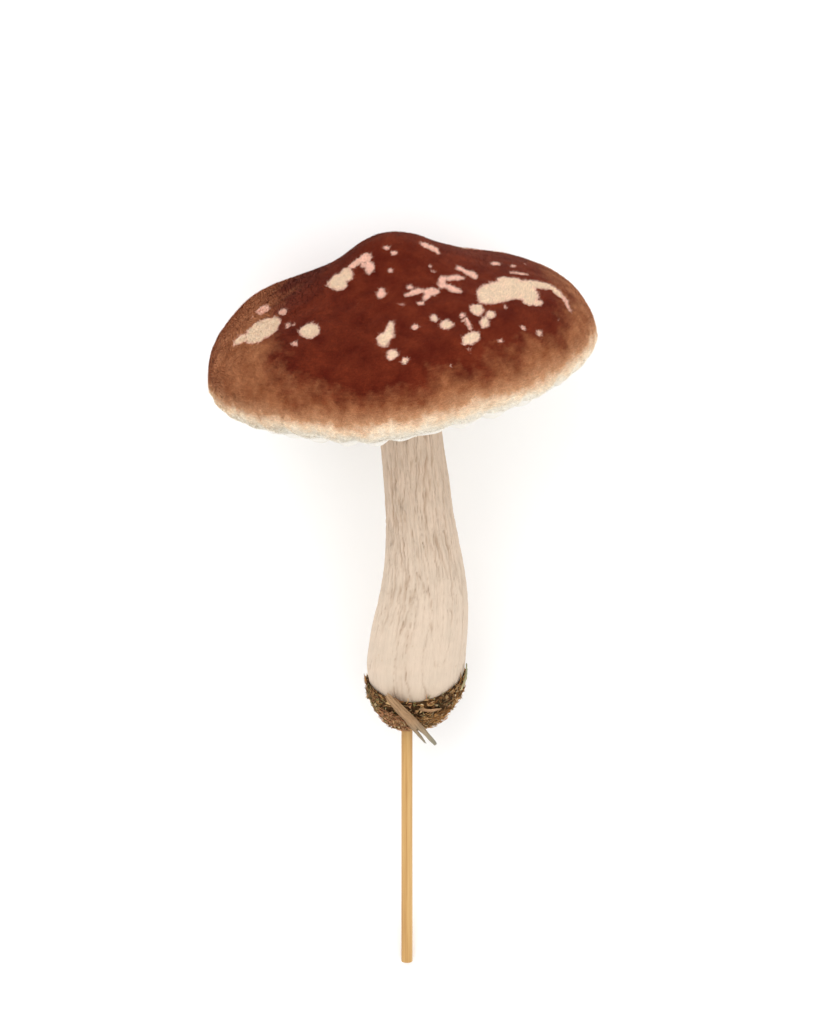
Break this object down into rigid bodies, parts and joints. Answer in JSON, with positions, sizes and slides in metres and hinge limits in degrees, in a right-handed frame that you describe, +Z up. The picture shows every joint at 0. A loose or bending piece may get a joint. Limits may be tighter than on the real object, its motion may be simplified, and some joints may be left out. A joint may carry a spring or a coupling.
{
  "type": "velvet mushroom pick",
  "caption": "Decorative velvet mushroom on a round bamboo pick, with a pleated gill cloth, a fibre-wrapped stem and a moss and bark collar, lying on its side.",
  "frame": {"origin": "on the table under the centre of the lying mushroom's bounding box", "axes": "+Y along the length on the table, from the stick's end to the cap; +Z up; +X to the right when looking down with the cap at the top"},
  "size_m": [0.1082, 0.2066, 0.1021],
  "materials": {
    "bamboo": "bare split bamboo with fine lengthwise fibres",
    "foam": "white craft foam, hidden inside",
    "fibre_wrap": "matt crinkled plant-fibre paper in lengthwise pleats",
    "velvet": "short-pile velvet, red-brown crown fading through tan to cream at the edge, with pale hand-painted spots",
    "gill_cloth": "off-white gathered plush",
    "moss": "brown dried moss and coir",
    "green_moss": "dull green dried moss",
    "root_fibre": "reddish brown root fibre",
    "bark": "split inner bark, weathered grey at its tips"
  },
  "bodies": {
    "root": {"stick": "bamboo", "stem_form": "foam", "stem_wrap": "fibre_wrap", "cap_form": "foam", "cap_velvet": "velvet", "gill_cloth": "gill_cloth", "moss_wad": "moss", "moss_clump_left": "green_moss", "moss_clump_front": "root_fibre", "moss_clump_back": "green_moss", "coir_clump_front": "moss", "coir_clump_right": "moss", "coir_clump_back": "moss", "bark_strip_long": "bark", "bark_strip_short": "bark", "bark_shard_right": "bark", "root_twig_left": "root_fibre", "root_twig_back": "root_fibre"}
  },
  "joints": []
}
